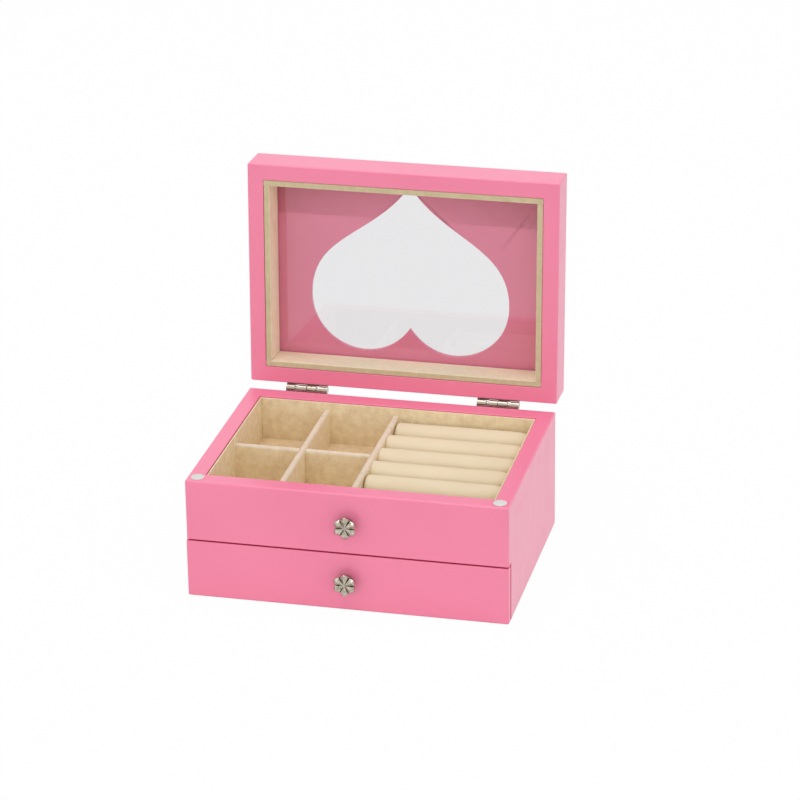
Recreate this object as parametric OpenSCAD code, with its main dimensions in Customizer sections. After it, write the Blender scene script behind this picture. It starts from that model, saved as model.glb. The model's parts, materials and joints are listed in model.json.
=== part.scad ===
// Two-level wooden jewellery box: a painted cabinet with divided tray and ring rolls,
// a drawer below it, and a hinged lid with a heart-shaped window.
// The origin is the centre of the cabinet's footprint; +X is right, +Y is back, +Z is up.

/* [Cabinet] */
// Width of the cabinet across its sides
body_w = 240; // [200:1:280]
// Depth of the cabinet from the false front to the back
body_d = 177; // [150:1:210]
// Height of the rim above the table
body_h = 93; // [84:1:110]
// Thickness of the side panels
side_t = 12.2; // [9:0.1:14]
// Thickness of the back panel
back_t = 14.6; // [12:0.1:18]
// Thickness of the false front above the drawer
front_t = 9.1; // [6:0.1:10]
// Thickness of the rail behind the false front
rail_t = 4.5; // [4:0.1:9]
// Thickness of the bottom board
bottom_t = 5; // [3:0.5:6]
// Thickness of the shelf under the tray
shelf_t = 6; // [4:0.5:8]
// Room between the top of the drawer front and the shelf
shelf_room = 5.9; // [3:0.5:8]
// Radius on the outer edges of cabinet and lid
edge_r = 1.2; // [0.5:0.1:4]

/* [Tray] */
// Thickness of the lining boards on the tray walls
liner_t = 1.5; // [1:0.1:3]
// How far the lining boards stop below the rim
liner_drop = 0.8; // [0.5:0.1:3]
// Thickness of the padded floor of the tray
floor_t = 2; // [1:0.1:4]
// Thickness of the suede-covered dividers
divider_t = 4.6; // [3:0.1:7]
// How far the long dividers stop below the rim
divider_drop = 6.4; // [4:0.1:14]
// How far the cross divider stops below the long ones
cross_drop = 0.8; // [0:0.1:3]
// Place of the main divider, to the right of the centre
main_divider_x = -0.5; // [-15:0.5:15]
// Clearance in the half-lap of the crossing dividers
lap_fit = 0.1; // [0.05:0.05:0.3]

/* [Ring rolls] */
// How many ring rolls lie in the right-hand section
roll_count = 6; // [4:1:8]
// Gap between neighbouring rolls
roll_gap = 0.25; // [0.2:0.05:1]
// Gap between a roll's end and the wall beside it
roll_end_gap = 0.5; // [0.4:0.1:3]
// Radius on the ends of a roll
roll_end_r = 3; // [1:0.5:5]
// How deep a roll is flattened where it is glued down
roll_flat = 0.3; // [0.1:0.1:1]
// Thickness of the card under the rolls
roll_card_t = 3; // [0.5:0.1:4]

/* [Drawer] */
// Height of the drawer front
drawer_front_h = 44.6; // [38:0.1:46]
// Thickness of the drawer front
drawer_front_t = 5.6; // [5:0.1:8]
// Width of the drawer front past the cabinet on each side
drawer_overhang = 0.6; // [0:0.1:1]
// Gap between the table and the drawer front
drawer_lift = 0.5; // [0.5:0.1:2]
// Gap seen around the closed drawer front
front_gap = 1.1; // [0.5:0.1:1.5]
// Sliding clearance of the drawer box beside and below
drawer_fit = 0.5; // [0.4:0.1:1]
// Room between the closed drawer and the back panel
drawer_back_room = 9.8; // [2:0.1:40]
// How far the drawer box stops below the top of its front
drawer_box_drop = 2.5; // [1:0.1:8]
// Thickness of the drawer sides and back
drawer_wall = 6; // [4:0.5:9]
// Thickness of the drawer bottom
drawer_bottom_t = 3; // [2:0.5:5]
// Thickness of the lining sheet in the drawer
drawer_lining_t = 1.5; // [1:0.1:3]

/* [Lid] */
// Depth of the lid from its hinge edge to its front edge
lid_d = 174; // [145:0.5:207]
// Height of the lid
lid_t = 29.8; // [26:0.1:36]
// Thickness of the lid's frame
lid_wall = 12.2; // [9:0.1:15]
// Thickness of the panel that holds the heart window
panel_t = 3.5; // [2.5:0.1:5]
// Thickness of the window glass
glass_t = 2; // [1.5:0.1:3]
// Thickness of the covered strips around the inside of the lid
strip_t = 4.6; // [3:0.1:8]
// How far the strips stop inside the lid's face
strip_drop = 0.4; // [0.2:0.1:2]
// Gap between the closed lid and the rim
lid_gap = 1.2; // [1.2:0.1:2]
// Angle of the opened lid
lid_open = 92.8; // [0:0.1:100]

/* [Heart window] */
// Width of the heart
heart_w = 154.9; // [100:0.1:170]
// Distance of the heart's tip from the lid's front edge
heart_from_front = 18; // [14:0.1:60]
// Distance of the heart's lobes from the lid's hinge edge
heart_from_hinge = 22.3; // [18:0.1:40]

/* [Hinges] */
// Distance of each hinge's middle from the side
hinge_in = 45; // [32:0.5:70]
// Distance of the hinge axis behind the cabinet
axis_back = 3.5; // [3:0.1:5]
// Height of the hinge axis above the rim
axis_up = 0.95; // [0.5:0.05:1.5]
// Diameter of the knuckles
knuckle_d = 5.6; // [4.4:0.1:6]
// Length of one knuckle
knuckle_l = 6.7; // [5:0.1:9]
// Wide gap between knuckles, where the pin shows
wide_gap = 2.5; // [1:0.1:3]
// Narrow gap between the middle knuckles
narrow_gap = 0.6; // [0.4:0.1:1]
// Diameter of the hinge pins
pin_d = 3; // [1.5:0.1:3.4]
// Radial running clearance of the pins
pin_fit = 0.05; // [0.02:0.01:0.1]
// Thickness of the hinge leaves
leaf_t = 1; // [0.8:0.1:1.2]
// Distance of the leaves' edges above and below the axis
leaf_edge = 0.3; // [0.3:0.05:0.6]
// Clearance of a leaf around the other leaf's knuckles
knuckle_fit = 0.35; // [0.3:0.05:0.5]
// Height of the hinge leaves
leaf_h = 15; // [12:0.5:18]
// Diameter of the hinge screws
hinge_screw_d = 2.4; // [2:0.1:3]
// Length of the hinge screws in the wood
hinge_screw_l = 9; // [6:0.5:10]
// Spacing of the two screws in a leaf
hinge_screw_pitch = 19; // [16:0.5:24]
// Radial clearance of the screws in their holes
screw_fit = 0.05; // [0.02:0.01:0.2]

/* [Knobs] */
// How far the upper knob stands to the right of the middle
upper_knob_x = 1.2; // [-20:0.1:20]
// How far the drawer's knob stands above the middle of the drawer front
drawer_knob_up = 1.1; // [-8:0.1:8]
// Size of the flower knobs from petal tip to petal tip
knob_d = 17.5; // [14:0.1:22]
// Height of the knobs above the front
knob_h = 10.5; // [9:0.1:16]
// Diameter of the knob's neck
knob_neck_d = 6.5; // [6:0.1:9]
// Diameter of the foot that meets the front
knob_foot_d = 9; // [8:0.1:12]
// Height of the foot
knob_foot_h = 1.2; // [0.8:0.1:2.5]
// Diameter of the boss between the petals
knob_boss_d = 4; // [3:0.1:6]
// Diameter of the knob screws
knob_screw_d = 4; // [3:0.1:4]
// Length of the knob screw inside the knob
knob_screw_bite = 6; // [4:0.5:7]
// Room past the screw's end in its hole
knob_screw_room = 0.5; // [0.3:0.1:1]
// Diameter of the knob screw's head
knob_head_d = 8; // [7:0.1:9]
// Height of the knob screw's head
knob_head_h = 2.4; // [1.5:0.1:3]

/* [Bumpers] */
// Diameter of the felt bumpers
bumper_d = 10; // [6:0.5:11]
// Height of the felt bumpers
bumper_h = 0.9; // [0.5:0.1:0.9]
// Distance of a bumper's middle from the side
bumper_x_in = 7.8; // [5.5:0.1:9]
// Distance of a bumper's middle from the front
bumper_y_in = 7.4; // [5.5:0.1:9]

/* [Hidden] */
$fn = 64;

// Colours of the finishes
pink = [0.95, 0.52, 0.66];
suede = [0.83, 0.72, 0.56];
velvet = [0.94, 0.89, 0.76];
pewter = [0.62, 0.58, 0.52];
felt = [0.9, 0.9, 0.88];
raw_board = [0.72, 0.58, 0.42];
clear = [0.8, 0.9, 0.92, 0.4];

// Extra length of a cutting tool past the face that it cuts
cut = 1;

// Planes of the cabinet
front_y = -body_d / 2;
back_y = body_d / 2;
inner_x = body_w / 2 - side_t;
rail_y = front_y + front_t;
tray_front_y = rail_y + rail_t;
tray_back_y = back_y - back_t;
drawer_top_z = drawer_lift + drawer_front_h;
upper_front_z = drawer_top_z + front_gap;
shelf_z = drawer_top_z + shelf_room + shelf_t;

// The tray inside its lining boards
tray_x = inner_x - liner_t;
tray_y0 = tray_front_y + liner_t;
tray_y1 = tray_back_y - liner_t;
floor_z = shelf_z + floor_t;
liner_h = body_h - liner_drop - shelf_z;
divider_h = body_h - divider_drop - floor_z;
main_left_x = main_divider_x - divider_t / 2;
main_right_x = main_divider_x + divider_t / 2;
cell_x = (main_left_x - tray_x) / 2;
cross_y = (tray_y0 + tray_y1) / 2;

// Ring rolls
roll_pitch = (tray_y1 - tray_y0) / roll_count;
roll_d = roll_pitch - roll_gap;
roll_l = tray_x - main_right_x - 2 * roll_end_gap;
card_z = floor_z + roll_card_t;

// Drawer box
drawer_x = inner_x - drawer_fit;
drawer_y0 = front_y + drawer_front_t;
drawer_z = bottom_t + drawer_fit;
drawer_wall_z = drawer_z + drawer_bottom_t;
drawer_wall_h = drawer_top_z - drawer_box_drop - drawer_wall_z;
drawer_box_d = tray_back_y - drawer_back_room - drawer_y0;
drawer_inner_x = drawer_x - drawer_wall;

// Lid, described as it lies when closed
lid_z = body_h + lid_gap;
lid_front_y = back_y - lid_d;
lid_inner_x = body_w / 2 - lid_wall;
lid_rail_h = lid_t - panel_t;
glass_z = lid_z + lid_rail_h - glass_t;
strip_z = lid_z + strip_drop;
heart_len = lid_d - heart_from_hinge - heart_from_front;

// Hinges
hinge_x = body_w / 2 - hinge_in;
axis_y = back_y + axis_back;
axis_z = body_h + axis_up;
knuckle_r = knuckle_d / 2;
pin_bore_r = pin_d / 2 + pin_fit;
hinge_w = 4 * knuckle_l + 2 * wide_gap + narrow_gap;
lid_knuckles = [0, 2 * knuckle_l + wide_gap + narrow_gap];
body_knuckles = [for (x = lid_knuckles) x + knuckle_l + wide_gap];
leaf_screw_z = leaf_edge + leaf_h / 2;
screw_head_r = hinge_screw_d / 2 + leaf_t;
screw_hole_r = hinge_screw_d / 2 + screw_fit;
sides = [-1, 1];

// Knobs
petal_count = 6;
petal_outer_r = 0.178 * knob_d;
petal_inner_r = 0.09 * knob_d;
knob_hole_r = knob_screw_d / 2 + screw_fit;
knob_rim_h = 0.7 * knob_h;
upper_knob_z = (upper_front_z + body_h) / 2;
drawer_knob_z = drawer_lift + drawer_front_h / 2 + drawer_knob_up;

// Half of the heart as two curves, in shares of its half width and its length
heart_flank = [[0, 1], [0.37, 0.69], [1, 0.68], [1, 0.32]];
heart_lobe = [[1, 0.32], [1, 0.01], [0.315, -0.125], [0, 0.15]];
heart_steps = 14;

function curve(p, t) = pow(1 - t, 3) * p[0] + 3 * pow(1 - t, 2) * t * p[1]
    + 3 * (1 - t) * pow(t, 2) * p[2] + pow(t, 3) * p[3];
function curve_points(p) = [for (i = [0 : heart_steps - 1]) curve(p, i / heart_steps)];
heart_half = concat(curve_points(heart_flank), curve_points(heart_lobe));

// A board given by its low and high corners
module board(low, high) {
    translate(low) cube(high - low);
}

module rounded_rect(size, r) {
    square([size[0] - 2 * r, size[1]], center = true);
    square([size[0], size[1] - 2 * r], center = true);
    for (x = sides, y = sides)
        translate([x * (size[0] / 2 - r), y * (size[1] / 2 - r)]) circle(r);
}

// A block with all its edges rounded, centred in x and standing on its low corner's y and z
module rounded_block(low, high, r) {
    size = high - low;
    translate((low + high) / 2) intersection() {
        linear_extrude(size[2], center = true) rounded_rect([size[0], size[1]], r);
        rotate([90, 0, 0]) linear_extrude(size[1], center = true)
            rounded_rect([size[0], size[2]], r);
        rotate([90, 0, 90]) linear_extrude(size[0], center = true)
            rounded_rect([size[1], size[2]], r);
    }
}

// The part of a board that lies inside the cabinet's rounded outline
module cabinet_board(low, high) {
    intersection() {
        rounded_block([-body_w / 2, front_y, -2 * edge_r], [body_w / 2, back_y, body_h], edge_r);
        board(low, high);
    }
}

// Turns a closed-lid piece about the hinge axis to the angle of the opened lid
module opened() {
    translate([0, axis_y, axis_z]) rotate([-lid_open, 0, 0]) translate([0, -axis_y, -axis_z])
        children();
}

// The part of a board that lies inside the closed lid's rounded outline
module lid_board(low, high) {
    intersection() {
        rounded_block([-body_w / 2, lid_front_y, lid_z], [body_w / 2, back_y, lid_z + lid_t], edge_r);
        board(low, high);
    }
}

// ---- cabinet ----

module side_panel(side) {
    color(pink) mirror([side < 0 ? 1 : 0, 0, 0])
        cabinet_board([inner_x, rail_y, 0], [body_w / 2, back_y, body_h]);
}

module back_panel() {
    color(pink) difference() {
        cabinet_board([-inner_x, tray_back_y, 0], [inner_x, back_y, body_h]);
        hinge_screw_holes(-1);
    }
}

module upper_front_panel() {
    color(pink) difference() {
        cabinet_board([-body_w / 2, front_y, upper_front_z], [body_w / 2, rail_y, body_h]);
        knob_screw_hole(upper_knob_x, upper_knob_z, knob_hole_r, front_t);
    }
}

// The rail behind the false front has a wide hole for the knob screw's head
module front_rail() {
    color(pink) difference() {
        cabinet_board([-inner_x, rail_y, upper_front_z], [inner_x, tray_front_y, body_h]);
        translate([0, rail_y, 0])
            knob_screw_hole(upper_knob_x, upper_knob_z, knob_head_d / 2 + 2 * screw_fit, rail_t,
                at = 0);
    }
}

module bottom_board() {
    color(raw_board) board([-inner_x, rail_y, 0], [inner_x, tray_back_y, bottom_t]);
}

module shelf_board() {
    color(raw_board)
        board([-inner_x, tray_front_y, shelf_z - shelf_t], [inner_x, tray_back_y, shelf_z]);
}

// ---- tray ----

module liner_side(side) {
    color(suede) mirror([side < 0 ? 1 : 0, 0, 0])
        board([tray_x, tray_front_y, shelf_z], [inner_x, tray_back_y, shelf_z + liner_h]);
}

module liner_front() {
    color(suede) board([-tray_x, tray_front_y, shelf_z], [tray_x, tray_y0, shelf_z + liner_h]);
}

module liner_back() {
    color(suede) board([-tray_x, tray_y1, shelf_z], [tray_x, tray_back_y, shelf_z + liner_h]);
}

module floor_pad() {
    color(suede) board([-tray_x, tray_y0, shelf_z], [tray_x, tray_y1, floor_z]);
}

// A divider's cross-section, with a round top edge, standing on the tray floor
module divider_profile(height) {
    translate([-divider_t / 2, 0]) square([divider_t, height - divider_t / 2]);
    translate([0, height - divider_t / 2]) circle(divider_t / 2);
}

module long_divider(x) {
    translate([x, tray_y1, floor_z]) rotate([90, 0, 0])
        linear_extrude(tray_y1 - tray_y0) divider_profile(divider_h);
}

// The room that one divider takes in another, from a height up or down
module lap_slot(x, low_z, high_z) {
    half = divider_t / 2 + lap_fit;
    board([x - half, cross_y - half, low_z], [x + half, cross_y + half, high_z]);
}

module main_divider() {
    color(suede) long_divider(main_divider_x);
}

module cell_divider() {
    color(suede) difference() {
        long_divider(cell_x);
        lap_slot(cell_x, floor_z - cut, floor_z + divider_h / 2);
    }
}

module cross_divider() {
    color(suede) difference() {
        translate([-tray_x, cross_y, floor_z]) rotate([90, 0, 90])
            linear_extrude(main_left_x + tray_x) divider_profile(divider_h - cross_drop);
        lap_slot(cell_x, floor_z + divider_h / 2 - lap_fit, floor_z + divider_h + cut);
    }
}

module ring_roll_card() {
    color(suede) board([main_right_x + roll_gap, tray_y0 + roll_gap, floor_z],
        [tray_x - roll_gap, tray_y1 - roll_gap, card_z]);
}

// Roll 1 is the rearmost; each is flattened where it is glued to the card
module ring_roll(number) {
    roll_y = tray_y1 - (number - 0.5) * roll_pitch;
    roll_x = main_right_x + roll_end_gap + roll_l / 2;
    if (number <= roll_count) color(velvet) difference() {
        translate([roll_x, roll_y, card_z + roll_d / 2 - roll_flat]) rotate([0, 90, 0])
            rotate_extrude() intersection() {
                rounded_rect([roll_d, roll_l], roll_end_r);
                translate([0, -roll_l / 2]) square([roll_d, roll_l]);
            }
        board([main_right_x, roll_y - roll_d, card_z - roll_d], [tray_x, roll_y + roll_d, card_z]);
    }
}

module bumper(side) {
    color(felt) translate([side * (body_w / 2 - bumper_x_in), front_y + bumper_y_in, body_h])
        cylinder(d = bumper_d, h = bumper_h);
}

// ---- knobs ----

module knob_screw_hole(x, z, r, depth, at = front_y) {
    translate([x, at - cut, z]) rotate([-90, 0, 0]) cylinder(r = r, h = depth + 2 * cut);
}

// One petal, from the middle out to its tip
module petal() {
    hull() {
        translate([0, knob_d / 2 - petal_outer_r, knob_rim_h]) sphere(petal_outer_r, $fn = 28);
        translate([0, petal_inner_r, knob_rim_h]) sphere(petal_inner_r, $fn = 28);
    }
}

// A flower knob on its foot and neck, standing along +Z
module knob() {
    color(pewter) difference() {
        union() {
            cylinder(d = knob_foot_d, h = knob_foot_h);
            cylinder(d = knob_neck_d, h = knob_rim_h);
            for (i = [0 : petal_count - 1]) rotate(i * 360 / petal_count) petal();
            translate([0, 0, knob_rim_h]) cylinder(d = knob_boss_d, h = knob_h - knob_rim_h);
        }
        translate([0, 0, -cut])
            cylinder(r = knob_hole_r, h = knob_screw_bite + knob_screw_room + cut);
    }
}

// The knob's screw, from the back of a front of the given thickness
module knob_screw(thickness) {
    color(pewter) translate([0, 0, -thickness]) {
        cylinder(d = knob_screw_d, h = thickness + knob_screw_bite);
        translate([0, 0, -knob_head_h]) cylinder(d = knob_head_d, h = knob_head_h);
    }
}

module on_front(x, z) {
    translate([x, front_y, z]) rotate([90, 0, 0]) children();
}

// ---- drawer ----

module drawer_front() {
    half_w = body_w / 2 + drawer_overhang;
    color(pink) difference() {
        rounded_block([-half_w, front_y, drawer_lift],
            [half_w, drawer_y0, drawer_lift + drawer_front_h], edge_r * 0.75);
        knob_screw_hole(0, drawer_knob_z, knob_hole_r, drawer_front_t);
    }
}

module drawer_side(side) {
    color(raw_board) mirror([side < 0 ? 1 : 0, 0, 0])
        board([drawer_inner_x, drawer_y0, drawer_wall_z],
            [drawer_x, drawer_y0 + drawer_box_d, drawer_wall_z + drawer_wall_h]);
}

module drawer_back() {
    back_edge = drawer_y0 + drawer_box_d;
    color(raw_board) board([-drawer_inner_x, back_edge - drawer_wall, drawer_wall_z],
        [drawer_inner_x, back_edge, drawer_wall_z + drawer_wall_h]);
}

module drawer_bottom() {
    color(raw_board)
        board([-drawer_x, drawer_y0, drawer_z], [drawer_x, drawer_y0 + drawer_box_d, drawer_wall_z]);
}

module drawer_lining() {
    color(suede) board([-drawer_inner_x, drawer_y0, drawer_wall_z],
        [drawer_inner_x, drawer_y0 + drawer_box_d - drawer_wall, drawer_wall_z + drawer_lining_t]);
}

// ---- lid ----

module lid_front_rail() {
    color(pink) opened() lid_board([-body_w / 2, lid_front_y, lid_z],
        [body_w / 2, lid_front_y + lid_wall, lid_z + lid_rail_h]);
}

module lid_rear_rail() {
    color(pink) opened() difference() {
        lid_board([-body_w / 2, back_y - lid_wall, lid_z], [body_w / 2, back_y, lid_z + lid_rail_h]);
        hinge_screw_holes(1);
    }
}

module lid_side_rail(side) {
    color(pink) opened() mirror([side < 0 ? 1 : 0, 0, 0])
        lid_board([lid_inner_x, lid_front_y + lid_wall, lid_z],
            [body_w / 2, back_y - lid_wall, lid_z + lid_rail_h]);
}

// The heart in the closed lid's plan, with its tip towards the front
module heart() {
    half = [for (p = heart_half) [p[0] * heart_w / 2, back_y - heart_from_hinge - p[1] * heart_len]];
    for (side = sides) scale([side, 1]) polygon(concat(half, [[0, half[len(half) - 1][1]]]));
}

module lid_panel() {
    color(pink) opened() difference() {
        lid_board([-body_w / 2, lid_front_y, lid_z + lid_rail_h], [body_w / 2, back_y, lid_z + lid_t]);
        translate([0, 0, lid_z]) linear_extrude(lid_t + cut) heart();
    }
}

module window_glass() {
    color(clear) opened() board([-lid_inner_x, lid_front_y + lid_wall, glass_z],
        [lid_inner_x, back_y - lid_wall, lid_z + lid_rail_h]);
}

// A strip along the front or rear of the lid's frame, from one side rail to the other
module lid_strip_across(y0) {
    color(suede) opened() board([-lid_inner_x, y0, strip_z], [lid_inner_x, y0 + strip_t, glass_z]);
}

module lid_strip_side(side) {
    color(suede) opened() mirror([side < 0 ? 1 : 0, 0, 0])
        board([lid_inner_x - strip_t, lid_front_y + lid_wall + strip_t, strip_z],
            [lid_inner_x, back_y - lid_wall - strip_t, glass_z]);
}

// ---- hinges ----

// Puts a hinge's axis in place, with its left end at x = 0 of the child
module at_hinge(side) {
    translate([side * hinge_x - hinge_w / 2, axis_y, axis_z]) children();
}

// The centres of one leaf's screws on the face it is fixed to; up is 1 on the lid, -1 below
module leaf_screw_places(up) {
    for (x = sides)
        translate([hinge_w / 2 + x * hinge_screw_pitch / 2, -axis_back, up * leaf_screw_z])
            rotate([-90, 0, 0]) children();
}

module hinge_screw_holes(up) {
    for (side = sides) at_hinge(side) leaf_screw_places(up)
        translate([0, 0, -hinge_screw_l - screw_fit]) cylinder(r = screw_hole_r, h = hinge_screw_l + cut);
}

// A leaf with its two knuckles, cut back around the other leaf's; up is 1 on the lid, -1 below
module hinge_leaf(up, knuckles, other_knuckles) {
    plate_z = up > 0 ? leaf_edge : -leaf_edge - leaf_h;
    neck_z = up > 0 ? leaf_edge : -knuckle_r;
    color(pewter) difference() {
        union() {
            translate([0, -axis_back, plate_z]) cube([hinge_w, leaf_t, leaf_h]);
            for (x = knuckles) translate([x, 0, 0]) {
                rotate([0, 90, 0]) cylinder(r = knuckle_r, h = knuckle_l);
                translate([0, -axis_back, neck_z]) cube([knuckle_l, axis_back, knuckle_r - leaf_edge]);
            }
        }
        for (x = other_knuckles) translate([x - narrow_gap / 2, 0, 0]) rotate([0, 90, 0])
            cylinder(r = knuckle_r + knuckle_fit, h = knuckle_l + narrow_gap);
        translate([-cut, 0, 0]) rotate([0, 90, 0]) cylinder(r = pin_bore_r, h = hinge_w + 2 * cut);
        leaf_screw_places(up) {
            translate([0, 0, -cut]) cylinder(r = screw_hole_r, h = leaf_t + 2 * cut);
            cylinder(r1 = screw_hole_r, r2 = screw_head_r + screw_fit, h = leaf_t);
            translate([0, 0, leaf_t]) cylinder(r = screw_head_r + screw_fit, h = cut);
        }
    }
}

module body_leaf(side) {
    at_hinge(side) hinge_leaf(-1, body_knuckles, lid_knuckles);
}

module lid_leaf(side) {
    at_hinge(side) hinge_leaf(1, lid_knuckles, body_knuckles);
}

module hinge_pin(side) {
    color(pewter) at_hinge(side) rotate([0, 90, 0]) cylinder(d = pin_d, h = hinge_w);
}

module hinge_screws(up) {
    color(pewter) for (side = sides) at_hinge(side) leaf_screw_places(up) {
        translate([0, 0, -hinge_screw_l]) cylinder(d = hinge_screw_d, h = hinge_screw_l + leaf_t / 2);
        cylinder(r1 = hinge_screw_d / 2, r2 = screw_head_r, h = leaf_t);
    }
}

side_panel(-1);  // side_panel_left
side_panel(1);  // side_panel_right
back_panel();
upper_front_panel();
front_rail();
bottom_board();
shelf_board();
liner_side(-1);  // liner_left
liner_side(1);  // liner_right
liner_front();
liner_back();
floor_pad();
main_divider();
cell_divider();
cross_divider();
ring_roll_card();
ring_roll(1);  // ring_roll_1
ring_roll(2);  // ring_roll_2
ring_roll(3);  // ring_roll_3
ring_roll(4);  // ring_roll_4
ring_roll(5);  // ring_roll_5
ring_roll(6);  // ring_roll_6
bumper(-1);  // bumper_left
bumper(1);  // bumper_right
on_front(upper_knob_x, upper_knob_z) knob();  // upper_knob
on_front(upper_knob_x, upper_knob_z) knob_screw(front_t);  // upper_knob_screw
drawer_front();
drawer_side(-1);  // drawer_side_left
drawer_side(1);  // drawer_side_right
drawer_back();
drawer_bottom();
drawer_lining();
on_front(0, drawer_knob_z) knob();  // drawer_knob
on_front(0, drawer_knob_z) knob_screw(drawer_front_t);  // drawer_knob_screw
lid_front_rail();
lid_rear_rail();
lid_side_rail(-1);  // lid_left_rail
lid_side_rail(1);  // lid_right_rail
lid_panel();
window_glass();
lid_strip_across(lid_front_y + lid_wall);  // lid_strip_front
lid_strip_across(back_y - lid_wall - strip_t);  // lid_strip_rear
lid_strip_side(-1);  // lid_strip_left
lid_strip_side(1);  // lid_strip_right
body_leaf(-1);  // hinge_body_leaf_left
body_leaf(1);  // hinge_body_leaf_right
opened() lid_leaf(-1);  // hinge_lid_leaf_left
opened() lid_leaf(1);  // hinge_lid_leaf_right
hinge_pin(-1);  // hinge_pin_left
hinge_pin(1);  // hinge_pin_right
hinge_screws(-1);  // hinge_body_screws
opened() hinge_screws(1);  // hinge_lid_screws
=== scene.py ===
import json
from math import cos, pi, radians, sin, sqrt

import bmesh
import bpy
from mathutils import Matrix, Vector, noise


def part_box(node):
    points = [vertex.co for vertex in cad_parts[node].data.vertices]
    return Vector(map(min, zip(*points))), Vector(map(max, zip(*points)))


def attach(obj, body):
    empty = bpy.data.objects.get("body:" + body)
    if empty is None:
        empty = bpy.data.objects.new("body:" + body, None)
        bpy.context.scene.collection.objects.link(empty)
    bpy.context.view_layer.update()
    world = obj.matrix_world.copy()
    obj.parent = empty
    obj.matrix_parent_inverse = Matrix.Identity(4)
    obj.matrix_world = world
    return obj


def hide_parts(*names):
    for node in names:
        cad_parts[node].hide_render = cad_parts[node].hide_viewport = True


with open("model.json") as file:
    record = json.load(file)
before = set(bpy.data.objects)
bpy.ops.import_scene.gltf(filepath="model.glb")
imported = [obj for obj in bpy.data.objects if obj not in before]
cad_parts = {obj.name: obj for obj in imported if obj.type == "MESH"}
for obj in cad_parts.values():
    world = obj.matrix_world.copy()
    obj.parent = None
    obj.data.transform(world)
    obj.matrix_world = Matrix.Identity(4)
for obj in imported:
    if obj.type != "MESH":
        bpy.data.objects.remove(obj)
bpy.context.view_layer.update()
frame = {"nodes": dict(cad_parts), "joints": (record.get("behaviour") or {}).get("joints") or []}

MM = 0.001
# How far a cutter reaches past what it cuts, and how near two faces count as touching
FAR = 20 * MM
TOUCH = 0.01 * MM
nodes = frame["nodes"]

# ---------------------------------------------------------------- sizes

EDGE_RADIUS = 1.2 * MM
SEAM_EDGE_RADIUS = 0.6 * MM
FRONT_EDGE_RADIUS = 1.7 * MM
RECESS_EDGE_RADIUS = 0.15 * MM
LIP_RADIUS = 0.5 * MM
SUEDE_EDGE_RADIUS = 0.4 * MM
LEAF_EDGE_WIDTH = 0.15 * MM
METAL_EDGE_WIDTH = 0.2 * MM
BOARD_EDGE_WIDTH = 0.4 * MM
# How much narrower the drawer front is on the right, so that the seam beside it shows
DRAWER_TRIM = 0.5 * MM
# How far a board stops beside the wood, and a lid strip at its ends
BOARD_SHRINK = 0.35 * MM
STRIP_END_SHRINK = 0.12 * MM

HEART_WIDTH = 154.9 * MM
HEART_FROM_FRONT = 18 * MM
HEART_FROM_HINGE = 22.3 * MM
# Half of the heart as two curves, in shares of its half width and its length
HEART_FLANK = [(0, 1), (0.37, 0.69), (1, 0.68), (1, 0.32)]
HEART_LOBE = [(1, 0.32), (1, 0.01), (0.315, -0.125), (0, 0.15)]
HEART_STEPS = 24

BUMPER_STEPS = 48

PETALS = 6
PETAL_STEPS = 24
KNOB_BORE = 2.05 * MM
KNOB_BORE_DEPTH = 6.5 * MM

ROLL_RING = 36
ROLL_COLUMNS = 44
# Length and drop of the rolls' rounded ends; some are pushed up against the divider
ROLL_LEFT_END = (2.5 * MM, 2.5 * MM)
SNUG_LEFT_END = (0.5 * MM, 0.2 * MM)
SNUG_ROLLS = ("ring_roll_2", "ring_roll_3", "ring_roll_4", "ring_roll_6")
SNUG_PUSH = 0.5 * MM
SNUG_FLAT = 1.6 * MM
ROLL_RIGHT_END = (9 * MM, 4 * MM)
ROLL_SLACK = 0.965
ROLL_MOVE = 0.9 * MM
ROLL_FRAMES = 20
# Height of the strip along the card by which a roll is held while it swells
ROLL_HELD = 3 * MM

# Edges that turn by more than this are rounded, eased or kept sharp
ROUNDED_ANGLE = radians(20)
SHARP_ANGLE = radians(30)
EASED_ANGLE = radians(40)
KNOB_SHARP_ANGLE = radians(70)

hinge_joint = next(j for j in frame["joints"] if j["name"] == "lid_hinge")
HINGE_AXIS = Vector(hinge_joint["pos_m"])
LID_ANGLE = radians(hinge_joint["range_deg"][1])
TO_AXIS = Matrix.Translation(HINGE_AXIS)
OPEN_LID = TO_AXIS @ Matrix.Rotation(-LID_ANGLE, 4, "X") @ TO_AXIS.inverted()
CLOSE_LID = OPEN_LID.inverted()


def box_of(*names):
    """The lowest and highest corners of several CAD nodes together, at rest."""
    corners = [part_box(name) for name in names]
    low = Vector([min(c[0][i] for c in corners) for i in range(3)])
    high = Vector([max(c[1][i] for c in corners) for i in range(3)])
    return low, high


def closed_box(*names):
    """The same for nodes of the lid, as they lie when the lid is closed."""
    points = [CLOSE_LID @ v.co for name in names for v in nodes[name].data.vertices]
    low = Vector([min(p[i] for p in points) for i in range(3)])
    high = Vector([max(p[i] for p in points) for i in range(3)])
    return low, high


# ---------------------------------------------------------------- camera

EYE = Vector((562.95, -2251.1, 1122.8)) * MM
VIEW_ANGLES = (66.82, 0.75, 13.23)
LENS = 154.17
SENSOR_WIDTH = 36

camera_data = bpy.data.cameras.new("camera")
camera_data.lens = LENS
camera_data.sensor_width = SENSOR_WIDTH
camera = bpy.data.objects.new("camera", camera_data)
camera.location = EYE
camera.rotation_euler = [radians(a) for a in VIEW_ANGLES]
bpy.context.scene.collection.objects.link(camera)
bpy.context.scene.camera = camera

# ---------------------------------------------------------------- materials


def srgb(r, g, b):
    """A colour given in 0 to 255 screen values, as the linear colour that shaders take."""
    channels = [c / 255 for c in (r, g, b)]
    linear = [c / 12.92 if c <= 0.04045 else ((c + 0.055) / 1.055) ** 2.4 for c in channels]
    return (*linear, 1)


def grey(level):
    return (level, level, level, 1)


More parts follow.
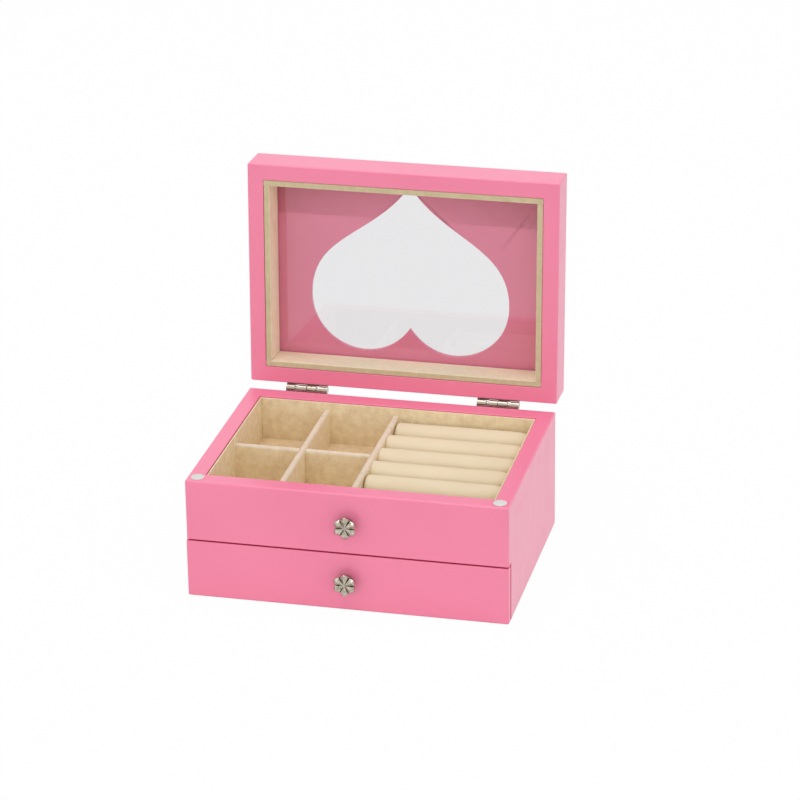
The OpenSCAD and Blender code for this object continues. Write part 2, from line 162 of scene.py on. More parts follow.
WHITE = grey(1)


class Shading:
    """A node tree under construction."""

    def __init__(self, tree):
        self.tree = tree

    def node(self, kind, **inputs):
        made = self.tree.nodes.new(kind)
        for key, value in inputs.items():
            self.feed(made.inputs[key.replace("_", " ")], value)
        return made

    def feed(self, socket, value):
        if isinstance(value, bpy.types.NodeSocket):
            self.tree.links.new(value, socket)
        else:
            socket.default_value = value

    def number(self, kind, a, b):
        made = self.node("ShaderNodeMath")
        made.operation = kind
        self.feed(made.inputs[0], a)
        self.feed(made.inputs[1], b)
        return made.outputs[0]


class Finish(Shading):
    """A material under construction: its principled shader and a few texture helpers."""

    def __init__(self, name):
        self.material = bpy.data.materials.new(name)
        self.material.use_nodes = True
        super().__init__(self.material.node_tree)
        self.shader = self.tree.nodes["Principled BSDF"]
        self.output = self.tree.nodes["Material Output"]
        self.place = self.node("ShaderNodeTexCoord").outputs["Object"]
        self.height = None

    def set(self, **inputs):
        for key, value in inputs.items():
            self.feed(self.shader.inputs[key.replace("_", " ")], value)

    def noise(self, per_metre, detail=3, stretch=(1, 1, 1), roughness=0.55):
        scaled = self.node("ShaderNodeMapping", Vector=self.place, Scale=stretch)
        made = self.node("ShaderNodeTexNoise", Vector=scaled.outputs[0], Scale=per_metre,
                         Detail=detail, Roughness=roughness)
        return made.outputs["Fac"]

    def ramp(self, value, stops):
        made = self.node("ShaderNodeValToRGB", Fac=value)
        ramp = made.color_ramp
        while len(ramp.elements) < len(stops):
            ramp.elements.new(0.5)
        for element, (at, colour) in zip(ramp.elements, stops):
            element.position = at
            element.color = colour
        return made.outputs["Color"]

    def mix(self, share, a, b, blend="MIX"):
        made = self.node("ShaderNodeMix")
        made.data_type = "RGBA"
        made.blend_type = blend
        self.feed(made.inputs[0], share)
        self.feed(made.inputs[6], a)
        self.feed(made.inputs[7], b)
        return made.outputs[2]

    def shaded(self, colour, distance, stops):
        """The colour times a ramp over how open the surface is within a distance: painted shade in
        the paint's gaps and the velvet's hollows, patina in the metal's hollows.
        """
        openness = self.node("ShaderNodeAmbientOcclusion", Distance=distance)
        openness.samples = 8
        return self.mix(1.0, colour, self.ramp(openness.outputs["AO"], stops), "MULTIPLY")

    def show(self, share, other):
        """Shows another shader's output in place of the principled one, in a given share."""
        mixed = self.node("ShaderNodeMixShader", Fac=share)
        self.feed(mixed.inputs[1], self.shader.outputs[0])
        self.feed(mixed.inputs[2], other.outputs[0])
        self.feed(self.output.inputs["Surface"], mixed.outputs[0])

    def bump(self, height, depth):
        """Adds relief of a given depth in metres on top of what is there."""
        made = self.node("ShaderNodeBump", Height=height, Distance=depth, Strength=1.0)
        if self.height is not None:
            self.feed(made.inputs["Normal"], self.height)
        self.height = made.outputs[0]
        self.feed(self.shader.inputs["Normal"], self.height)

    def edge_wear(self, radius):
        """1 on rounded edges and 0 on flats, from the angle between bevelled and true normals."""
        bevel = self.node("ShaderNodeBevel", Radius=radius)
        bevel.samples = 4
        geometry = self.node("ShaderNodeNewGeometry")
        dot = self.node("ShaderNodeVectorMath")
        dot.operation = "DOT_PRODUCT"
        self.feed(dot.inputs[0], bevel.outputs[0])
        self.feed(dot.inputs[1], geometry.outputs["Normal"])
        return self.number("SUBTRACT", 1.0, dot.outputs["Value"])


def painted_finish(name, gap_shade, dark=(240, 130, 162), light=(244, 136, 167)):
    """Satin pink paint: slight orange peel, uneven colour and, when asked, painted shade: deeper
    pink in gaps.
    """
    f = Finish(name)
    cloud = f.noise(9, detail=2)
    colour = f.ramp(cloud, [(0.3, srgb(*dark)), (0.7, srgb(*light))])
    gloss = f.ramp(f.noise(60, detail=3), [(0.35, grey(0.28)), (0.65, grey(0.33))])
    if gap_shade:
        # Painted shade: a deeper, redder pink where the surface is hemmed in within 3 mm
        colour = f.shaded(colour, 0.003, [(0.25, (0.85, 0.25, 0.5, 1)), (0.8, WHITE)])
    f.set(Base_Color=colour, Roughness=gloss, IOR=1.45, Coat_Weight=0.1, Coat_Roughness=0.22)
    f.bump(f.noise(420, detail=2), 0.00002)
    return f.material


def suede_finish(name, dark, light):
    """Imitation suede: a short nap brushed into faint patches."""
    f = Finish(name)
    nap = f.noise(170, detail=4, roughness=0.62)
    colour = f.ramp(nap, [(0.34, srgb(*dark)), (0.66, srgb(*light))])
    fibre = f.noise(2600, detail=2)
    fleck = f.ramp(fibre, [(0.3, grey(0.25)), (0.7, WHITE)])
    colour = f.mix(0.16, colour, fleck, "MULTIPLY")
    f.set(Base_Color=colour, Roughness=0.95, Specular_IOR_Level=0.15, Sheen_Weight=0.25,
          Sheen_Roughness=0.5, Sheen_Tint=srgb(250, 235, 210))
    f.bump(fibre, 0.00012)
    f.bump(nap, 0.0002)
    return f.material


def velvet_finish():
    """Short cream velvet with a soft sheen, a nap too fine to show from afar, and painted shade in
    its hollows.
    """
    f = Finish("cream_velvet")
    brushed = f.noise(38, detail=2, stretch=(0.5, 1, 1))
    colour = f.ramp(brushed, [(0.3, srgb(225, 208, 178)), (0.7, srgb(230, 215, 186))])
    # Painted shade: darker and yellower where a roll is hemmed in within 12 mm, by the walls, the
    # divider and the next roll
    colour = f.shaded(colour, 0.012, [(0.2, (0.8, 0.76, 0.62, 1)), (0.75, WHITE)])
    f.set(Base_Color=colour, Roughness=0.9, Specular_IOR_Level=0.12, Sheen_Weight=0.35,
          Sheen_Roughness=0.4, Sheen_Tint=srgb(255, 246, 226))
    f.bump(f.noise(3200, detail=2), 0.00008)
    return f.material


def felt_finish():
    """White felt with loose fibres."""
    f = Finish("white_felt")
    fibre = f.noise(1800, detail=4)
    f.set(Base_Color=f.ramp(fibre, [(0.3, srgb(207, 206, 202)), (0.7, srgb(229, 228, 224))]),
          Roughness=0.95, Specular_IOR_Level=0.1, Sheen_Weight=0.3)
    f.bump(fibre, 0.0002)
    return f.material


def metal_finish(name, dark, light, patina_scale, roughness):
    """Antique nickel: dark in the hollows, worn bright on the high edges."""
    f = Finish(name)
    patina = f.ramp(f.noise(patina_scale, detail=4), [(0.35, srgb(*dark)), (0.65, srgb(*light))])
    worn = f.number("MULTIPLY", f.edge_wear(0.0004), 5.0)
    colour = f.mix(worn, patina, srgb(226, 220, 206))
    colour = f.shaded(colour, 0.0012, [(0.15, srgb(70, 60, 50)), (0.75, WHITE)])
    rough = f.ramp(f.noise(900, detail=3), [(0.3, grey(roughness)), (0.7, grey(roughness + 0.1))])
    f.set(Base_Color=colour, Metallic=1.0, Roughness=rough)
    f.bump(f.noise(1400, detail=2), 0.00001)
    return f.material


def board_finish():
    """Plain fibreboard of the hidden structure."""
    f = Finish("plain_board")
    fibre = f.noise(900, detail=4, stretch=(1, 0.5, 1))
    colour = f.ramp(fibre, [(0.3, srgb(158, 124, 86)), (0.7, srgb(188, 154, 112))])
    f.set(Base_Color=colour, Roughness=0.8, Specular_IOR_Level=0.25)
    f.bump(fibre, 0.0001)
    return f.material


def glass_finish():
    """Faintly grey window glass that lets light through to the panel behind it."""
    f = Finish("window_glass")
    f.set(Base_Color=(0.80, 0.795, 0.808, 1), Roughness=0.0, IOR=1.5, Transmission_Weight=1.0)
    rays = f.node("ShaderNodeLightPath").outputs
    lighting = f.number("MAXIMUM", rays["Is Shadow Ray"], rays["Is Diffuse Ray"])
    f.show(lighting, f.node("ShaderNodeBsdfTransparent", Color=WHITE))
    return f.material


PAINT = painted_finish("pink_paint", True)
LID_PAINT = painted_finish("pink_lid_paint", False)
# Painted shade: a deeper pink for the ends of the side panels behind the drawer front, so that the
# seam beside the drawer looks dark
SEAM_SHADE_PAINT = painted_finish("pink_paint_seam_shade", True, (240, 84, 128), (246, 92, 136))
SUEDE = suede_finish("beige_suede", (237, 215, 177), (252, 236, 200))
PALE_SUEDE = suede_finish("pale_suede", (241, 226, 196), (248, 236, 209))
# Painted shade: a darker copy of the beige suede for the tray's floor, which the lamp above lights
# more than the walls
FLOOR_SHADE_SUEDE = suede_finish("suede_floor_painted_shade", (215, 186, 148), (230, 204, 168))
# Painted highlight: a paler suede for the liners' top edges, where light from above falls
LINER_TOP_HIGHLIGHT = suede_finish("suede_edge", (232, 220, 184), (242, 232, 200))
# Painted highlight: a paler suede for the dividers' tops, where light from above falls
DIVIDER_TOP_HIGHLIGHT = suede_finish("divider_top_painted_highlight", (226, 208, 186), (236, 220, 200))
STRIP_EDGE = suede_finish("strip_edge", (202, 188, 150), (214, 200, 162))
VELVET = velvet_finish()
FELT = felt_finish()
METAL = metal_finish("antique_nickel", (158, 148, 134), (206, 198, 182), 380, 0.2)
HINGE_METAL = metal_finish("hinge_nickel", (176, 167, 152), (190, 182, 166), 90, 0.22)
# Painted shade: a dark copy of the nickel for the hinge leaves' cut edges and the faces over the
# knuckles
HINGE_SHADE_METAL = metal_finish("dark_nickel", (60, 50, 46), (76, 64, 58), 200, 0.5)
# Painted shade: a darker copy of the nickel for the knob's backs and the walls of its grooves
KNOB_SHADE_METAL = metal_finish("shaded_nickel", (104, 88, 80), (124, 108, 98), 200, 0.4)
BOARD = board_finish()
GLASS = glass_finish()

# ---------------------------------------------------------------- mesh helpers


def link(name, mesh, material, smooth=True):
    obj = bpy.data.objects.new(name, mesh)
    bpy.context.scene.collection.objects.link(obj)
    mesh.materials.clear()
    mesh.materials.append(material)
    for face in mesh.polygons:
        face.use_smooth = smooth
    return obj


def mesh_from(name, bm):
    mesh = bpy.data.meshes.new(name)
    bm.to_mesh(mesh)
    bm.free()
    return mesh


def box_mesh(name, low, high):
    bm = bmesh.new()
    bmesh.ops.create_cube(bm, size=1)
    for v in bm.verts:
        v.co = Vector([(low[i] + high[i]) / 2 + v.co[i] * (high[i] - low[i]) for i in range(3)])
    return mesh_from(name, bm)


def prism_mesh(name, outline, z0, z1):
    """An upright prism over a closed outline of (x, y) points."""
    bm = bmesh.new()
    face = bm.faces.new([bm.verts.new((x, y, z0)) for x, y in outline])
    grown = bmesh.ops.extrude_face_region(bm, geom=[face])
    for v in grown["geom"]:
        if isinstance(v, bmesh.types.BMVert):
            v.co.z = z1
    bmesh.ops.recalc_face_normals(bm, faces=bm.faces)
    return mesh_from(name, bm)


def carve(name, mesh, cutters, material):
    """The mesh with each cutter taken out of it."""
    obj = link(name, mesh, material, smooth=False)
    tools = []
    for cutter in cutters:
        tool = bpy.data.objects.new(name + "_tool", cutter)
        bpy.context.scene.collection.objects.link(tool)
        tools.append(tool)
        cut = obj.modifiers.new("cut", "BOOLEAN")
        cut.operation = "DIFFERENCE"
        cut.solver = "EXACT"
        cut.object = tool
    apply_modifiers(obj)
    for tool in tools:
        bpy.data.objects.remove(tool)
    return obj


def apply_modifiers(obj):
    graph = bpy.context.evaluated_depsgraph_get()
    graph.update()
    mesh = bpy.data.meshes.new_from_object(obj.evaluated_get(graph))
    obj.modifiers.clear()
    obj.data = mesh


def round_edges(obj, radius, weight_of, segments=4):
    """Rounds the sharp edges; weight_of gives a share of the radius from an edge's middle."""
    for face in obj.data.polygons:
        face.use_smooth = True
    bm = bmesh.new()
    bm.from_mesh(obj.data)
    weights = bm.edges.layers.float.new("bevel_weight_edge")
    for edge in bm.edges:
        if len(edge.link_faces) == 2 and edge.calc_face_angle() > ROUNDED_ANGLE:
            edge[weights] = weight_of((edge.verts[0].co + edge.verts[1].co) / 2)
    bm.to_mesh(obj.data)
    bm.free()
    bevel = obj.modifiers.new("rounding", "BEVEL")
    bevel.limit_method = "WEIGHT"
    bevel.width = radius
    bevel.segments = segments
    bevel.use_clamp_overlap = False
    bevel.harden_normals = True
    apply_modifiers(obj)


def near(a, b):
    return abs(a - b) < TOUCH


def on_outside(low, high):
    """A test for a point that lies on the outline of a box, on two of its faces at once."""
    def test(point):
        return sum(near(point[i], low[i]) or near(point[i], high[i]) for i in range(3)) >= 2
    return test


def ease_edges(obj, width, harden=False):
    """A modifier that cuts a fine slope along the sharp edges."""
    eased = obj.modifiers.new("eased edges", "BEVEL")
    eased.limit_method = "ANGLE"
    eased.angle_limit = EASED_ANGLE
    eased.width = width
    eased.segments = 2
    eased.harden_normals = harden


def smooth_shading():
    """A node group that shades faces smooth in a modifier, so that the CAD mesh stays as it is."""
    group = bpy.data.node_groups.new("smooth_shading", "GeometryNodeTree")
    for way in ("INPUT", "OUTPUT"):
        group.interface.new_socket("Geometry", in_out=way, socket_type="NodeSocketGeometry")
    smooth = group.nodes.new("GeometryNodeSetShadeSmooth")
    group.links.new(group.nodes.new("NodeGroupInput").outputs[0], smooth.inputs["Geometry"])
    group.links.new(smooth.outputs[0], group.nodes.new("NodeGroupOutput").inputs[0])
    return group


def settle(obj, body, slot, *replaced):
    """Attaches a finished piece to its body and hides the nodes it stands for. The slot is not
    used.
    """
    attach(obj, body)
    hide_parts(*replaced)


def from_cad(node, material):
    """A copy of a CAD node's own surface, smooth along its curves."""
    obj = link(node + "_piece", nodes[node].data.copy(), material)
    obj.data.set_sharp_from_angle(angle=SHARP_ANGLE)
    return obj


def cover_faces(obj, material, towards, least, where=lambda middle: True):
    """Gives the faces that look along towards, and lie where asked, a second material."""
    obj.data.materials.append(material)
    index = len(obj.data.materials) - 1
    for face in obj.data.polygons:
        if face.normal.dot(towards) > least and where(face.center):
            face.material_index = index


def loft(name, rings, material):
    """A closed surface through rings of equal length, each a list of points."""
    bm = bmesh.new()
    rows = [[bm.verts.new(p) for p in ring] for ring in rings]
    count = len(rows[0])
    for here, there in zip(rows, rows[1:]):
        for i in range(count):
            j = (i + 1) % count
            bm.faces.new((here[i], here[j], there[j], there[i]))
    for row in (rows[0], rows[-1]):
        centre = bm.verts.new(sum((v.co for v in row), Vector()) / count)
        for i in range(count):
            bm.faces.new((row[i], row[(i + 1) % count], centre))
    bmesh.ops.recalc_face_normals(bm, faces=bm.faces)
    return link(name, mesh_from(name, bm), material)


def open_with_lid(obj):
    """Swings a piece that was made on the closed lid to where the open lid holds it."""
    obj.data.transform(OPEN_LID)
    obj.data.update()


def suede_covered(name, low, high, material):
    obj = link(name, box_mesh(name, low, high), material)
    round_edges(obj, SUEDE_EDGE_RADIUS, lambda middle: 1.0, segments=3)
    return obj


# ---------------------------------------------------------------- painted shells


def cabinet_shell():
    """The painted cabinet as one filled and sanded surface, open above and at the drawer."""
    low, high = box_of("side_panel_left", "side_panel_right", "back_panel", "upper_front_panel")
    inner_low, inner_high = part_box("shelf_board")
    front_low, front_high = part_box("upper_front_panel")
    tray = box_mesh("tray", (inner_low[0], inner_low[1], low.z - FAR),
                    (inner_high[0], inner_high[1], high.z + FAR))
    drawer_gap = box_mesh("drawer_gap", (low.x - FAR, low.y - FAR, low.z - FAR),
                          (high.x + FAR, front_high[1], front_low[2]))
    drawer_way = box_mesh("drawer_way", (inner_low[0], low.y - FAR, low.z - FAR),
                          (inner_high[0], inner_low[1] + FAR, front_low[2]))
    shell = carve("cabinet_shell", box_mesh("cabinet_shell", low, high),
                  [tray, drawer_gap, drawer_way], PAINT)
    outside = on_outside(low, high)

    def weight(middle):
        if outside(middle) and near(middle.y, low.y) and near(middle.z, high.z):
            return 1.0
        if near(middle.y, front_high[1]) and near(abs(middle.x), high.x):
            return RECESS_EDGE_RADIUS / FRONT_EDGE_RADIUS
        if near(middle.y, low.y) and near(middle.z, front_low[2]):
            return SEAM_EDGE_RADIUS / FRONT_EDGE_RADIUS
        if outside(middle):
            return EDGE_RADIUS / FRONT_EDGE_RADIUS
        return LIP_RADIUS / FRONT_EDGE_RADIUS

    round_edges(shell, FRONT_EDGE_RADIUS, weight, segments=5)
    # Painted shade: the side panels' front ends behind the drawer front get the deeper pink, so the
    # seam beside the drawer looks dark
    cover_faces(shell, SEAM_SHADE_PAINT, Vector((0, -1, 0)), 0.5,
                lambda middle: abs(middle.y - front_high[1]) < 2 * RECESS_EDGE_RADIUS)
    settle(shell, "cabinet", "pink_painted_wood", "side_panel_left", "side_panel_right",
           "back_panel", "upper_front_panel", "front_rail")


def curve_point(p, t):
    """The point at t, from 0 to 1, on a cubic curve with four control points."""
    weights = ((1 - t) ** 3, 3 * (1 - t) ** 2 * t, 3 * (1 - t) * t ** 2, t ** 3)
    return tuple(sum(w * q[i] for w, q in zip(weights, p)) for i in range(2))


def heart_outline(front_edge_y, hinge_edge_y):
    """The heart in the closed lid's plan, with its tip towards the front."""
    half = [curve_point(p, i / HEART_STEPS) for p in (HEART_FLANK, HEART_LOBE)
            for i in range(HEART_STEPS)]
    lobe_y = hinge_edge_y - HEART_FROM_HINGE
    length = lobe_y - front_edge_y - HEART_FROM_FRONT
    right = [(x * HEART_WIDTH / 2, lobe_y - v * length) for x, v in half]
    notch = (0, lobe_y - HEART_LOBE[-1][1] * length)
    left = [(-x, y) for x, y in reversed(right[1:])]
    return right + [notch] + left


def lid_shell():
    """The painted lid as one surface, with its recess and its heart-shaped window."""
    rails = ("lid_front_rail", "lid_rear_rail", "lid_left_rail", "lid_right_rail")
    low, high = closed_box(*rails, "lid_panel")
    recess_low, recess_high = closed_box("window_glass")
    recess = box_mesh("recess", (recess_low.x, recess_low.y, low.z - FAR), recess_high)
    heart = prism_mesh("heart", heart_outline(low.y, high.y), low.z, high.z + FAR)
    shell = carve("lid_shell", box_mesh("lid_shell", low, high), [recess, heart], LID_PAINT)
    outside = on_outside(low, high)
    round_edges(shell, EDGE_RADIUS,
                lambda middle: 1.0 if outside(middle) else LIP_RADIUS / EDGE_RADIUS)
    open_with_lid(shell)
    settle(shell, "lid", "pink_painted_wood", *rails, "lid_panel")


def drawer_face():
    """The drawer's front board, sharpest along its back, where the seam shows."""
    low, high = (Vector(c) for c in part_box("drawer_front"))
    high.x -= DRAWER_TRIM
    board = link("drawer_face", box_mesh("drawer_face", low, high), PAINT)

    def weight(middle):
        if near(middle.y, high.y):
            return RECESS_EDGE_RADIUS / EDGE_RADIUS
        if near(middle.z, high.z):
            return SEAM_EDGE_RADIUS / EDGE_RADIUS
        return 1.0

    round_edges(board, EDGE_RADIUS, weight)
    settle(board, "drawer", "pink_painted_wood", "drawer_front")


# ---------------------------------------------------------------- suede boards

TRAY_MIDDLE = sum(box_of("floor_pad"), Vector()) / 2
LID_MIDDLE = sum(closed_box("lid_panel"), Vector()) / 2


def shrunk(low, high, middle, end_shrink=0.0):
    """A board's corners, pulled in a little on its side by the wood, where a dark line shows."""
    low, high = Vector(low), Vector(high)
    thin, long = (0, 1) if high.x - low.x < high.y - low.y else (1, 0)
    if low[thin] < middle[thin]:
        low[thin] += BOARD_SHRINK
    else:
        high[thin] -= BOARD_SHRINK
    low[long] += end_shrink
    high[long] -= end_shrink
    return low, high


def tray_board(node):
    """A suede-covered board of the tray; the floor pad gets a darker suede for painted shade, and
    the liners' top edges a paler one for a painted highlight.
    """
    low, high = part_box(node)
    liner = node.startswith("liner")
    if liner:
        low, high = shrunk(low, high, TRAY_MIDDLE)
    # Painted shade: the floor pad gets the darker suede
    board = suede_covered(node + "_suede", low, high, FLOOR_SHADE_SUEDE if node == "floor_pad" else SUEDE)
    if liner:
        # Painted highlight: the liners' top faces get the paler suede
        cover_faces(board, LINER_TOP_HIGHLIGHT, Vector((0, 0, 1)), least=0.9)
    settle(board, "cabinet", "beige_suede_board", node)


def divider(node):
    board = from_cad(node, SUEDE)
    # Painted highlight: the faces that look up get the paler suede
    cover_faces(board, DIVIDER_TOP_HIGHLIGHT, Vector((0, 0, 1)), least=0.35)
    settle(board, "cabinet", "beige_suede_board", node)


def lid_strip(node):
    """A suede-covered strip beside the glass, with a darker edge towards the tray."""
    low, high = shrunk(*closed_box(node), LID_MIDDLE, STRIP_END_SHRINK)
    strip = suede_covered(node + "_suede", low, high, PALE_SUEDE)
    cover_faces(strip, STRIP_EDGE, Vector((0, 0, -1)), least=0.9)
    open_with_lid(strip)
    settle(strip, "lid", "beige_suede_board", node)


# ---------------------------------------------------------------- ring rolls


def roll_blank(node):
    """A slack roll of velvet: a tube with rounded ends, squared off where it rests."""
    low, high = (Vector(c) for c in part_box(node))
    middle = (low + high) / 2
    snug = node in SNUG_ROLLS
    left_end = SNUG_LEFT_END if snug else ROLL_LEFT_END
    push = SNUG_PUSH / 2 if snug else 0.0
    middle.x -= push
    half_length = (high.x - low.x) / 2 + push
    radius = min(high.y - low.y, high.z - low.z) / 2
    rings = []
    for i in range(ROLL_COLUMNS + 1):
        share = i / ROLL_COLUMNS
        # Columns crowd towards the two ends
        x = -cos(pi * share) * 0.35 + (2 * share - 1) * 0.65
        x *= half_length
        end, fall = left_end if x < 0 else ROLL_RIGHT_END
        past = max(0.0, abs(x) - (half_length - end)) / end
        drop = fall * (1 - sqrt(max(0.0, 1 - past * past)))
        r = max(radius - drop, 0.25 * radius) * ROLL_SLACK
        ring = []
        for j in range(ROLL_RING):
            angle = 2 * pi * j / ROLL_RING
            y, z = r * cos(angle), r * sin(angle)
            pull = noise.noise(Vector((x * 60, y * 90, z * 90 + middle.y * 40)))
            y, z = y * (1 + 0.02 * pull), z * (1 + 0.02 * pull)
            ring.append((middle.x + x, middle.y + y, max(middle.z + z, low.z + 0.2 * MM)))
        rings.append(ring)
    return loft(node + "_velvet", rings, VELVET)


def ring_rolls(names):
    """All the rolls swell together under pressure, held down along the card that they sit on."""
    rolls = [roll_blank(name) for name in names]
    starts = [[v.co.copy() for v in roll.data.vertices] for roll in rolls]
    for roll in rolls:
        floor_z = min(v.co.z for v in roll.data.vertices)
        held = roll.vertex_groups.new(name="held")
        below = [v.index for v in roll.data.vertices if v.co.z < floor_z + ROLL_HELD]
        held.add(below, 1.0, "ADD")
        cloth = roll.modifiers.new("stuffing", "CLOTH")
        settings = cloth.settings
        settings.vertex_group_mass = "held"
        settings.use_pressure = True
        settings.uniform_pressure_force = 4
        settings.effector_weights.gravity = 0
        settings.quality = 5
        settings.mass = 0.3
        cloth.point_cache.frame_start = 1
        cloth.point_cache.frame_end = ROLL_FRAMES
    for step in range(1, ROLL_FRAMES + 1):
        bpy.context.scene.frame_set(step)
    for roll in rolls:
        apply_modifiers(roll)
    bpy.context.scene.frame_set(1)
    for name, roll, start in zip(names, rolls, starts):
        low, high = (Vector(c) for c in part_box(name))
        if name in SNUG_ROLLS:
            low.x -= SNUG_PUSH
        for v, before in zip(roll.data.vertices, start):
            move = v.co - before
            if move.length > ROLL_MOVE:
                move *= ROLL_MOVE / move.length
            v.co = [min(max(before[i] + move[i], low[i]), high[i]) for i in range(3)]
            if name in SNUG_ROLLS and v.co.x < low.x + SNUG_FLAT:
                v.co.x = low.x
        finer = roll.modifiers.new("finer", "SUBSURF")
        finer.levels = finer.render_levels = 1
        apply_modifiers(roll)
        for face in roll.data.polygons:
            face.use_smooth = True
        settle(roll, "cabinet", "cream_velvet_roll", name)


# ---------------------------------------------------------------- knobs and bumpers


def between(value, points):
    """The value of a broken line through (place, height) points."""
    for (a, ha), (b, hb) in zip(points, points[1:]):
        if value <= b:
            return ha + (hb - ha) * (value - a) / (b - a)
    return points[-1][1]


# Height along a petal's folded axis, on its shoulders and in the groove between two petals
AXIS = [(0, 0.86), (0.12, 0.86), (0.25, 0.82), (0.5, 0.93), (0.8, 1.0), (1, 0.82)]
RIM = [(0, 0.86), (0.12, 0.86), (0.25, 0.78), (0.5, 0.82), (0.8, 0.84), (1, 0.74)]
GROOVE = [(0, 0.86), (0.12, 0.84), (0.25, 0.72), (0.5, 0.68), (0.8, 0.66), (1, 0.62)]
# Where a petal's shoulders are, from 0 at its axis to 1 at the groove
RIM_AT = 0.66
# Share of the petals' outline for the rings in front
FRONT_RINGS = [0.04, 0.1, 0.16, 0.2, 0.24, 0.32, 0.42, 0.52, 0.62, 0.72, 0.8, 0.88, 0.94, 1.0]
# Share of the outline, share of the height, for the petals' edges and backs
BACK_RINGS = [(1.02, -0.05), (1.0, -0.11), (0.92, -0.17), (0.75, -0.2)]
# Share of the knob's radius, share of its reach, for the neck and its flared foot
NECK_RINGS = [(0.42, 0.42), (0.37, 0.34), (0.37, 0.2), (0.42, 0.13), (0.51, 0.09), (0.51, 0.01),
              (0.5, 0.0)]


def flower_knob(node, body):
    """A cast knob: ridged petals round a small boss, on a neck with a flared foot."""
    low, high = (Vector(c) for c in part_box(node))
    middle = (low + high) / 2
    reach = high.y - low.y
    radius = (high.z - low.z) / 2
    count = PETALS * PETAL_STEPS

    def ring(place):
        points = []
        for i in range(count):
            angle = pi / 2 + 2 * pi * i / count
            turn = (i % PETAL_STEPS) / PETAL_STEPS
            r, height = place(abs(turn - round(turn)) * 2)
            points.append((middle.x + r * cos(angle), high.y - height, middle.z + r * sin(angle)))
        return points

    def outline(s):
        return radius * (0.78 + 0.22 * (1 - s ** 1.2))

    def crest(share, s):
        axis, rim, groove = (between(share, line) for line in (AXIS, RIM, GROOVE))
        if s < RIM_AT:
            return axis + (rim - axis) * s / RIM_AT
        return rim + (groove - rim) * ((s - RIM_AT) / (1 - RIM_AT)) ** 3

    rings = [ring(lambda s, k=k: (k * outline(s), crest(k, s) * reach)) for k in FRONT_RINGS]
    rings += [ring(lambda s, k=k, d=d: (k * outline(s), (crest(1, s) + d) * reach))
              for k, d in BACK_RINGS]
    rings += [ring(lambda s, r=r, h=h: (r * radius, h * reach)) for r, h in NECK_RINGS]
    rings += [ring(lambda s, h=h: (KNOB_BORE, h)) for h in (0, KNOB_BORE_DEPTH)]
    knob = loft(node + "_cast", rings, METAL)
    knob.data.set_sharp_from_angle(angle=KNOB_SHARP_ANGLE)
    # Painted shade: the faces that do not look to the front, the backs and the groove walls, get
    # the darker nickel
    cover_faces(knob, KNOB_SHADE_METAL, Vector((0, 1, 0)), least=-0.1)
    settle(knob, body, "antique_nickel", node)


def hinge_leaf(node, body, edge_up):
    """A hinge leaf, bright on its knuckles, with painted shade: dark on the cut edge beside them
    and, on the cabinet's leaves, on the faces that look up and back.
    """
    leaf = from_cad(node, HINGE_METAL)
    edge = Vector((0, 0, edge_up))
    if body == "lid":
        edge = OPEN_LID.to_3x3() @ edge
    # Painted shade: the dark nickel stands for the shadow on the leaf's cut edge and over the
    # knuckles
    cover_faces(leaf, HINGE_SHADE_METAL, edge, least=0.9995)
    if body == "cabinet":
        cover_faces(leaf, HINGE_SHADE_METAL, Vector((0, 0.6, 0.8)), least=0.93)
    ease_edges(leaf, LEAF_EDGE_WIDTH)
    apply_modifiers(leaf)
    settle(leaf, body, "antique_nickel", node)


# Share of the radius, share of the height, of a bumper's rings
BUMPER_RINGS = [(1.0, 0.0), (1.0, 0.45), (0.97, 0.72), (0.9, 0.88), (0.75, 0.96), (0.4, 1.0)]


def felt_bumper(node):
    """A felt disc with a softly domed edge."""
    low, high = (Vector(c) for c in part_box(node))
    middle = (low + high) / 2
    radius, height = (high.x - low.x) / 2, high.z - low.z
    angles = [2 * pi * i / BUMPER_STEPS for i in range(BUMPER_STEPS)]
    rings = [[(middle.x + share * radius * cos(a), middle.y + share * radius * sin(a),
               low.z + up * height) for a in angles] for share, up in BUMPER_RINGS]
    settle(loft(node + "_felt", rings, FELT), "cabinet", "white_felt", node)


# ---------------------------------------------------------------- stage

# Share of plain white in the floor as it is seen; the rest is lit and keeps the object's shadow
FLOOR_WHITE = 0.97
FLOOR_REACH = 30
LAMP_HEIGHT = 4.0
LAMP_SIZE = 2.5
LAMP_POWER = 77.0
# Brightness of the surround towards each side, where it lights the object
LIGHT_SKY = {("X", 1): 1.14, ("X", -1): 0.95, ("Y", 1): 0.3, ("Y", -1): 1.42, ("Z", 1): 0.2}


def background_rays(shading):
    """1 for the rays that show the white background: those of the camera, metal and glass."""
    rays = shading.node("ShaderNodeLightPath").outputs
    shown = shading.number("MAXIMUM", rays["Is Camera Ray"], rays["Is Glossy Ray"])
    return shading.number("MAXIMUM", shown, rays["Is Transmission Ray"])


def floor():
    """A floor that looks white."""
    f = Finish("floor_white")
    f.set(Base_Color=grey(0.88), Roughness=1.0, Specular_IOR_Level=0.0)
    white = f.node("ShaderNodeEmission", Color=WHITE, Strength=1.0)
    f.show(f.number("MULTIPLY", background_rays(f), FLOOR_WHITE), white)
    low, high = (-FLOOR_REACH, -FLOOR_REACH, -FAR), (FLOOR_REACH, FLOOR_REACH, 0.0)
    link("floor", box_mesh("floor", low, high), f.material)


def sky(shading):
    """The surround's light by direction; each side's fades out a right angle away from it."""
    direction = shading.node("ShaderNodeTexCoord").outputs["Generated"]
    axes = shading.node("ShaderNodeSeparateXYZ", Vector=direction).outputs
    total = 0.0
    for (axis, sign), level in LIGHT_SKY.items():
        facing = shading.number("MAXIMUM", shading.number("MULTIPLY", axes[axis], sign), 0.0)
        share = shading.number("MULTIPLY", shading.number("MULTIPLY", facing, facing), level)
        total = shading.number("ADD", total, share)
    return total


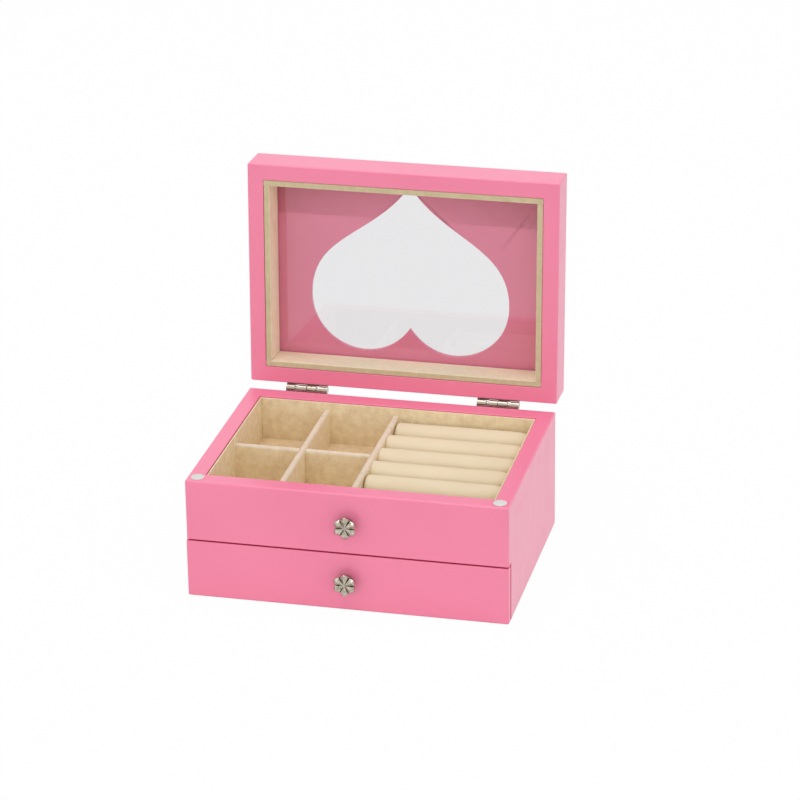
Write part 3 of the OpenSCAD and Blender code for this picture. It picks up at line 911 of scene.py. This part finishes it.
def surround():
    """A room that looks plain white and lights the object unevenly."""
    world = bpy.data.worlds.new("surround")
    bpy.context.scene.world = world
    world.use_nodes = True
    shading = Shading(world.node_tree)
    seen = background_rays(shading)
    light = shading.number("MULTIPLY", shading.number("SUBTRACT", 1.0, seen), sky(shading))
    background = shading.tree.nodes["Background"].inputs
    shading.feed(background["Color"], WHITE)
    shading.feed(background["Strength"], shading.number("ADD", seen, light))


def overhead_lamp():
    """A wide soft lamp that looks straight down."""
    light = bpy.data.lights.new("overhead_lamp", "AREA")
    light.shape = "DISK"
    light.size = LAMP_SIZE
    light.energy = LAMP_POWER
    lamp = bpy.data.objects.new("overhead_lamp", light)
    lamp.location = (0, 0, LAMP_HEIGHT)
    bpy.context.scene.collection.objects.link(lamp)


# ---------------------------------------------------------------- build

cabinet_shell()
lid_shell()
drawer_face()
for name in ("liner_left", "liner_right", "liner_front", "liner_back", "floor_pad",
             "ring_roll_card"):
    tray_board(name)
for name in ("main_divider", "cell_divider", "cross_divider"):
    divider(name)
for name in ("lid_strip_front", "lid_strip_rear", "lid_strip_left", "lid_strip_right"):
    lid_strip(name)
ring_rolls(["ring_roll_%d" % i for i in range(1, 7)])
flower_knob("upper_knob", "cabinet")
flower_knob("drawer_knob", "drawer")
felt_bumper("bumper_left")
felt_bumper("bumper_right")
for side in ("left", "right"):
    hinge_leaf("hinge_body_leaf_" + side, "cabinet", 1)
    hinge_leaf("hinge_lid_leaf_" + side, "lid", -1)

# The CAD nodes that stay get a material and, except for the glass, eased edges
SMOOTH_SHADING = smooth_shading()
for name, obj in nodes.items():
    obj.data.materials.clear()
    metal = "knob" in name or "hinge" in name
    if metal:
        obj.data.materials.append(HINGE_METAL)
    elif name == "window_glass":
        obj.data.materials.append(GLASS)
    elif name == "drawer_lining":
        obj.data.materials.append(SUEDE)
    else:
        obj.data.materials.append(BOARD)
    if not obj.hide_render and name != "window_glass":
        obj.modifiers.new("smooth shading", "NODES").node_group = SMOOTH_SHADING
        ease_edges(obj, METAL_EDGE_WIDTH if metal else BOARD_EDGE_WIDTH, harden=True)

floor()
surround()
overhead_lamp()

bpy.context.scene.view_settings.view_transform = "Standard"
